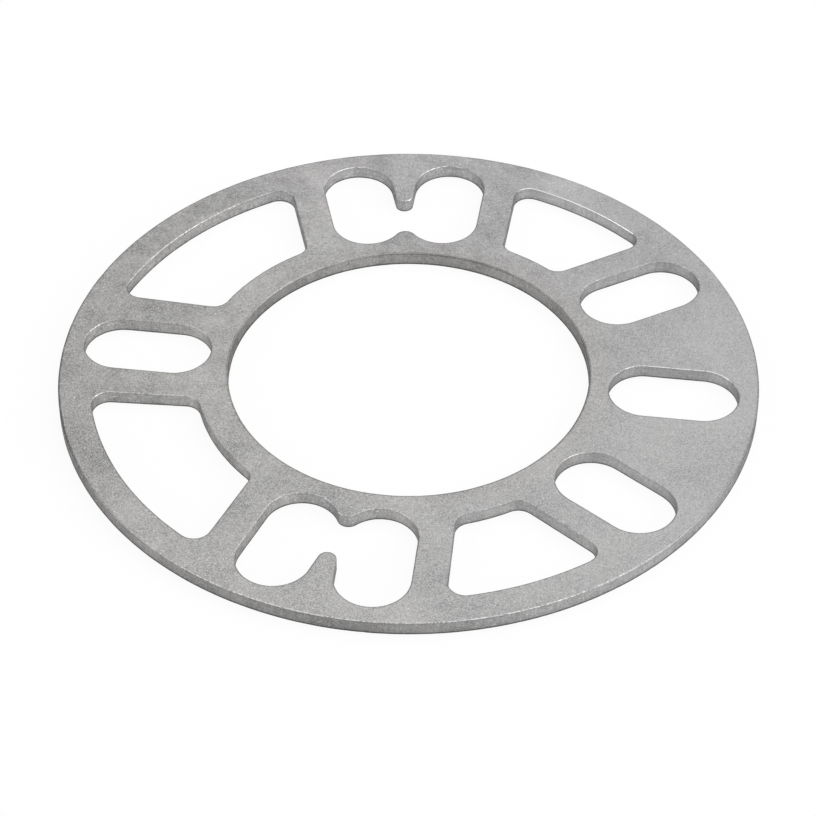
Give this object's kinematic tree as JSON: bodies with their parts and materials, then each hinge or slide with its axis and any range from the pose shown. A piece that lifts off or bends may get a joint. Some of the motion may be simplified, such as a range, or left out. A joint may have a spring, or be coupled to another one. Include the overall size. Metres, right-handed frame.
{
  "type": "wheel spacer",
  "caption": "Flat ring that sits between a wheel hub and its wheel, with a centre bore, radial slots for the wheel studs and windows that save weight.",
  "frame": {"origin": "centre of the bore at the back face, the face that the ring lies on", "axes": "+Z along the bore axis out of the front face, +X through the middle one of the three slots that stand together"},
  "size_m": [0.144, 0.144, 0.003],
  "materials": {
    "cast_aluminium": "matt, blasted"
  },
  "bodies": {
    "root": {"spacer_plate": "cast_aluminium"}
  },
  "joints": []
}
